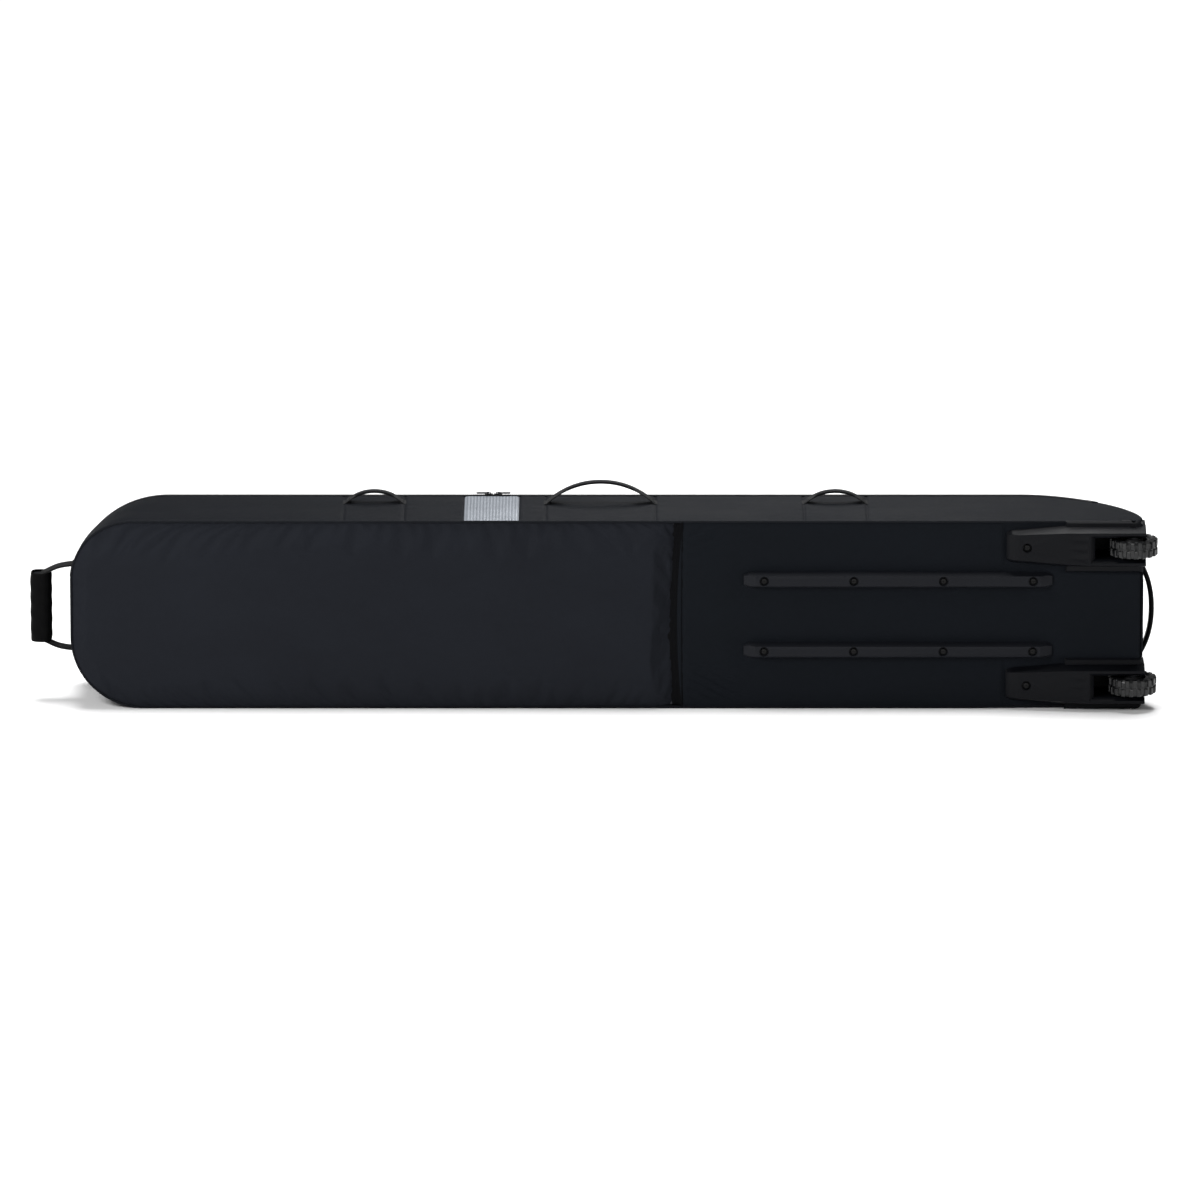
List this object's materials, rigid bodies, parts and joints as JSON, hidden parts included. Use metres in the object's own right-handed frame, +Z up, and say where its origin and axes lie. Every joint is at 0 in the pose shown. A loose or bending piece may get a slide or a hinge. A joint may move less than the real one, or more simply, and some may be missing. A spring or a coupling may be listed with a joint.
{
  "type": "wheeled snowboard bag",
  "caption": "Long padded zip-lid snowboard bag on wheels, with moulded wheel housings, skid rails on its underside and carry handles.",
  "frame": {"origin": "middle of the flat long side that the bag stands on", "axes": "+X along the bag from its tip end to its wheel end, +Z up across its width, underside with rails and wheels towards -Y, lid towards +Y"},
  "size_m": [1.7675, 0.2228, 0.339],
  "materials": {
    "outer_fabric": "padded woven polyester, matt",
    "lid_fabric": "padded woven polyester, matt",
    "piping": "bias tape over cord",
    "reflective": "retro-reflective film with a fine dot pattern",
    "foam": "closed-cell foam under lining",
    "lining_strap": "hook-and-loop webbing",
    "webbing": "woven webbing",
    "grip_wrap": "padded wrap",
    "zip_tape": "zip tape with nylon coil",
    "zip_metal": "black lacquered zinc",
    "board": "pressed plastic sheet",
    "rail_plastic": "moulded polyethylene",
    "housing_plastic": "moulded nylon, satin",
    "screw_black": "black oxide steel",
    "steel": "zinc-plated steel",
    "tyre_rubber": "moulded urethane, glossy",
    "hub_plastic": "moulded nylon",
    "handle_rubber": "flexible moulded strap"
  },
  "bodies": {
    "bag": {"base_panel_wheel_end": "outer_fabric", "base_panel_tip_end": "outer_fabric", "base_fold_gusset": "outer_fabric", "base_piping": "piping", "side_wall_upper_tip": "outer_fabric", "reflective_panel": "reflective", "side_wall_upper_wheel": "outer_fabric", "side_wall_lower": "outer_fabric", "tip_end_wall": "outer_fabric", "wheel_end_wall": "outer_fabric", "base_board": "board", "base_foam": "foam", "zipper_tape_wall": "zip_tape", "skid_rail_upper": "rail_plastic", "skid_rail_lower": "rail_plastic", "rail_screws": "screw_black", "rail_washers": "steel", "rail_nuts": "steel", "wheel_housing_upper": "housing_plastic", "wheel_housing_lower": "housing_plastic", "housing_screws": "screw_black", "housing_washers": "steel", "housing_nuts": "steel", "axle_upper": "steel", "axle_lower": "steel", "axle_nuts": "steel", "axle_spacers": "steel", "tie_down_hook_straps": "lining_strap", "tie_down_loop_straps": "lining_strap", "side_handle_anchors": "webbing", "tip_handle_anchors": "webbing", "wheel_end_handle_anchors": "handle_rubber"},
    "lid": {"lid_panel": "lid_fabric", "zipper_tape_lid": "zip_tape", "lid_pocket_panel": "lid_fabric", "pocket_zipper_tape": "zip_tape"},
    "wheel_upper": {"tyre_upper": "tyre_rubber", "hub_upper": "hub_plastic", "bearings_upper": "steel"},
    "wheel_lower": {"tyre_lower": "tyre_rubber", "hub_lower": "hub_plastic", "bearings_lower": "steel"},
    "slider_tip": {"zip_slider_tip": "zip_metal"},
    "pull_tip": {"zip_pull_tip": "zip_metal"},
    "slider_wheel": {"zip_slider_wheel": "zip_metal"},
    "pull_wheel": {"zip_pull_wheel": "zip_metal"},
    "pocket_slider": {"pocket_slider": "zip_metal"},
    "pocket_pull": {"pocket_pull": "zip_metal"},
    "handle_tip_side": {"side_handle_tip": "webbing"},
    "handle_mid_side": {"side_handle_mid": "webbing"},
    "handle_wheel_side": {"side_handle_wheel": "webbing"},
    "tip_handle": {"tip_handle_webbing": "webbing", "tip_handle_grip": "grip_wrap"},
    "wheel_end_handle": {"wheel_end_handle": "handle_rubber"}
  },
  "joints": [
    {"name": "lid_hinge", "type": "hinge", "parent": "bag", "child": "lid", "pos_m": [0, 0.087, 0.002], "axis": [-1, 0, 0], "range_deg": [0, 90]},
    {"name": "wheel_upper_spin", "type": "hinge", "parent": "bag", "child": "wheel_upper", "pos_m": [0.8245, -0.089, 0.2625], "axis": [0, 0, 1], "continuous": true},
    {"name": "wheel_lower_spin", "type": "hinge", "parent": "bag", "child": "wheel_lower", "pos_m": [0.8245, -0.089, 0.0405], "axis": [0, 0, 1], "continuous": true},
    {"name": "slider_tip_travel", "type": "slide", "parent": "bag", "child": "slider_tip", "axis": [-1, 0, 0], "range_m": [0, 0.5]},
    {"name": "slider_wheel_travel", "type": "slide", "parent": "bag", "child": "slider_wheel", "axis": [1, 0, 0], "range_m": [0, 0.8]},
    {"name": "pull_tip_flip", "type": "hinge", "parent": "slider_tip", "child": "pull_tip", "pos_m": [-0.185, 0.082, 0.3067], "axis": [0, 1, 0], "range_deg": [0, 140]},
    {"name": "pull_wheel_flip", "type": "hinge", "parent": "slider_wheel", "child": "pull_wheel", "pos_m": [-0.171, 0.082, 0.3067], "axis": [0, -1, 0], "range_deg": [0, 140]},
    {"name": "pocket_slider_travel", "type": "slide", "parent": "lid", "child": "pocket_slider", "axis": [1, 0, 0], "range_m": [0, 0.43]},
    {"name": "pocket_pull_flip", "type": "hinge", "parent": "pocket_slider", "child": "pocket_pull", "pos_m": [0.146, 0.0942, 0.2505], "axis": [0, 0, 1], "range_deg": [0, 140]},
    {"name": "handle_tip_side_swing", "type": "hinge", "parent": "bag", "child": "handle_tip_side", "pos_m": [-0.3645, 0.029, 0.311], "axis": [1, 0, 0], "range_deg": [-80, 80]},
    {"name": "handle_mid_side_swing", "type": "hinge", "parent": "bag", "child": "handle_mid_side", "pos_m": [-0.009, 0.029, 0.311], "axis": [1, 0, 0], "range_deg": [-80, 80]},
    {"name": "handle_wheel_side_swing", "type": "hinge", "parent": "bag", "child": "handle_wheel_side", "pos_m": [0.3595, 0.029, 0.311], "axis": [1, 0, 0], "range_deg": [-80, 80]},
    {"name": "tip_handle_swing", "type": "hinge", "parent": "bag", "child": "tip_handle", "pos_m": [-0.86, -0.029, 0.1515], "axis": [0, 0, 1], "range_deg": [-75, 75]},
    {"name": "wheel_end_handle_swing", "type": "hinge", "parent": "bag", "child": "wheel_end_handle", "pos_m": [0.848, -0.042, 0.1515], "axis": [0, 0, 1], "range_deg": [-35, 35]}
  ]
}
